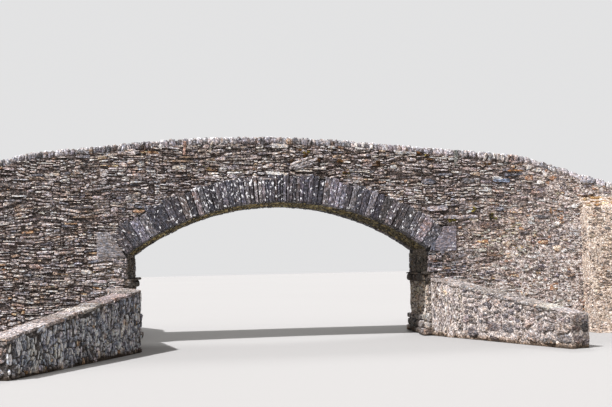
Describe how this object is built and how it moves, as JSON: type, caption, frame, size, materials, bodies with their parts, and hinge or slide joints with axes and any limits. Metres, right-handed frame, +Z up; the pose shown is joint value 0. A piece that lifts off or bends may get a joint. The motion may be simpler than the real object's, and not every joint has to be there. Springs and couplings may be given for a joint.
{
  "type": "packhorse bridge",
  "caption": "Single-arch rubble stone packhorse bridge: slate voussoir rings, humped road between coped parapets, flared river walls and battered end buttresses.",
  "frame": {"origin": "on the base level, under the middle of the arch and midway between the two faces", "axes": "+X along the road to the right end as seen from the front, -Y towards the front face, +Z up"},
  "size_m": [25.2, 21.068, 6.6854],
  "materials": {
    "footing_stone": "rough, water-worn",
    "pier_stone": "rough, streaked",
    "ledge_stone": "rough, dark weathered",
    "ring_stone": "hewn slate with white lichen",
    "vault_stone": "hewn, stained",
    "schist_rubble": "rough schist rubble, lime mortar",
    "rubble_core": "rough rubble and mortar",
    "pitched_paving": "worn cobbles and slabs",
    "coping_stone": "rough slabs on edge with lichen",
    "river_wall_rubble": "rough rubble, worn lime mortar",
    "lime_rubble": "rubble flushed with lime mortar"
  },
  "bodies": {
    "root": {"footings": "footing_stone", "abutment_left": "pier_stone", "abutment_right": "pier_stone", "ledge_left": "ledge_stone", "ledge_right": "ledge_stone", "springer_wall_left": "pier_stone", "springer_wall_right": "pier_stone", "skewback_front_left": "ring_stone", "skewback_front_right": "ring_stone", "skewback_back_left": "ring_stone", "skewback_back_right": "ring_stone", "vault_left": "vault_stone", "vault_crown": "vault_stone", "vault_right": "vault_stone", "ring_front_left": "ring_stone", "ring_front_crown": "ring_stone", "ring_front_right": "ring_stone", "ring_back_left": "ring_stone", "ring_back_crown": "ring_stone", "ring_back_right": "ring_stone", "spandrel_front_left": "schist_rubble", "spandrel_front_right": "schist_rubble", "spandrel_back_left": "schist_rubble", "spandrel_back_right": "schist_rubble", "approach_wall_front_left": "schist_rubble", "approach_wall_front_right": "schist_rubble", "approach_wall_back_left": "schist_rubble", "approach_wall_back_right": "schist_rubble", "haunch_fill_left": "rubble_core", "haunch_fill_right": "rubble_core", "approach_fill_left": "rubble_core", "approach_fill_right": "rubble_core", "road": "pitched_paving", "parapet_front": "schist_rubble", "parapet_back": "schist_rubble", "coping_front": "coping_stone", "coping_back": "coping_stone", "river_wall_front_left": "river_wall_rubble", "river_wall_front_right": "river_wall_rubble", "river_wall_back_left": "river_wall_rubble", "river_wall_back_right": "river_wall_rubble", "buttress_front_left": "lime_rubble", "buttress_front_right": "lime_rubble", "buttress_back_left": "lime_rubble", "buttress_back_right": "lime_rubble"}
  },
  "joints": []
}
